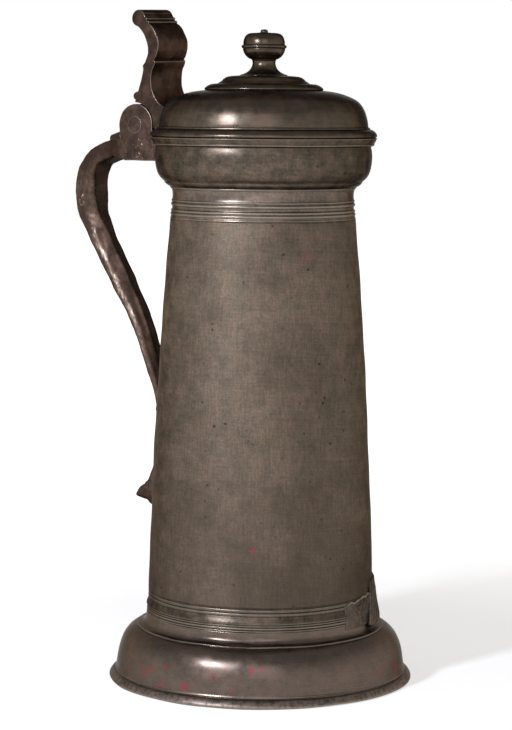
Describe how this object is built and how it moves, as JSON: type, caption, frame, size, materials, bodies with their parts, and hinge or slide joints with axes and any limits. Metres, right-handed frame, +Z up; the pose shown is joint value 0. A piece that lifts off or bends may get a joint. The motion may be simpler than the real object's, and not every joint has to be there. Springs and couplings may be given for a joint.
{
  "type": "lidded flagon",
  "caption": "Tall tapered pewter flagon on a domed foot, with a hinged domed lid, a knob finial, a scroll thumbpiece and a strap handle.",
  "frame": {"origin": "centre of the foot's bottom edge, on the axis of the drum", "axes": "+Z up along the drum's axis; the handle and the hinge lie towards -X; the hinge pin runs along Y"},
  "size_m": [0.25, 0.2, 0.439],
  "materials": {
    "worn_pewter": "satin, dull grey-brown patina with fine turning lines",
    "dark_pewter": "dark patina with a soft shine",
    "handled_pewter": "reddish-brown patina, shiny where hands rub it",
    "bright_pewter": "bare worn metal",
    "rough_solder": "rough and lumpy",
    "repair_pewter": "reeded, satin"
  },
  "bodies": {
    "vessel": {"foot": "dark_pewter", "base_plate": "worn_pewter", "lower_band": "worn_pewter", "drum": "worn_pewter", "upper_band": "worn_pewter", "collar": "worn_pewter", "hinge_lugs": "handled_pewter", "handle_strap": "handled_pewter", "hinge_pin": "bright_pewter", "pin_plug_front": "handled_pewter", "pin_plug_back": "handled_pewter", "repair_plate": "repair_pewter", "repair_solder": "rough_solder"},
    "lid": {"lid_dome": "dark_pewter", "lid_bezel": "worn_pewter", "lid_boss": "dark_pewter", "finial_stem": "dark_pewter", "knob_lower": "dark_pewter", "knob_upper": "dark_pewter", "finial_rivet": "dark_pewter", "rivet_washer": "bright_pewter", "thumbpiece": "handled_pewter"}
  },
  "joints": [
    {"name": "lid_hinge", "type": "hinge", "parent": "vessel", "child": "lid", "pos_m": [-0.0924, 0, 0.3629], "axis": [0, -1, 0], "range_deg": [0, 102]}
  ]
}
